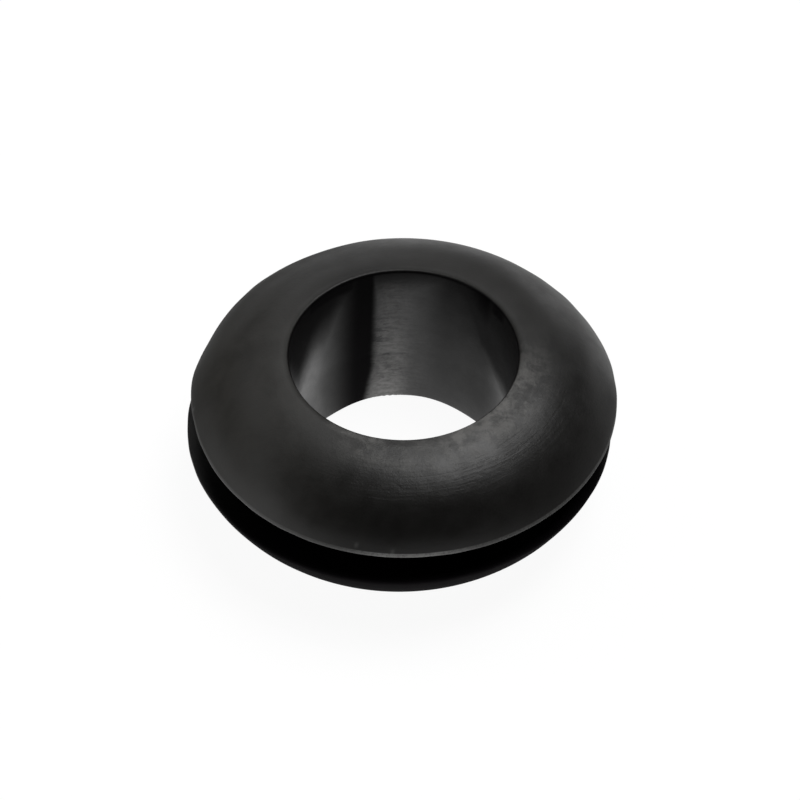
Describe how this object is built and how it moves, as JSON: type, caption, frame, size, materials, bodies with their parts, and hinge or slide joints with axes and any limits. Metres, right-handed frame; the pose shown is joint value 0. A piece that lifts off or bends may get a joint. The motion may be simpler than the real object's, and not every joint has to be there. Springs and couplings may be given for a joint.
{
  "type": "rubber grommet",
  "caption": "Round black rubber grommet with two domed flanges, a panel groove between them and a straight cable bore.",
  "frame": {"origin": "on the bore's axis, at the centre of the underside, in the plane of the lower crest", "axes": "+Z along the bore, from the lower flange to the upper one; X and Y are free, because the part is round"},
  "size_m": [0.0222, 0.0222, 0.0096],
  "materials": {
    "rubber": "satin moulded black rubber"
  },
  "bodies": {
    "root": {"grommet": "rubber"}
  },
  "joints": []
}
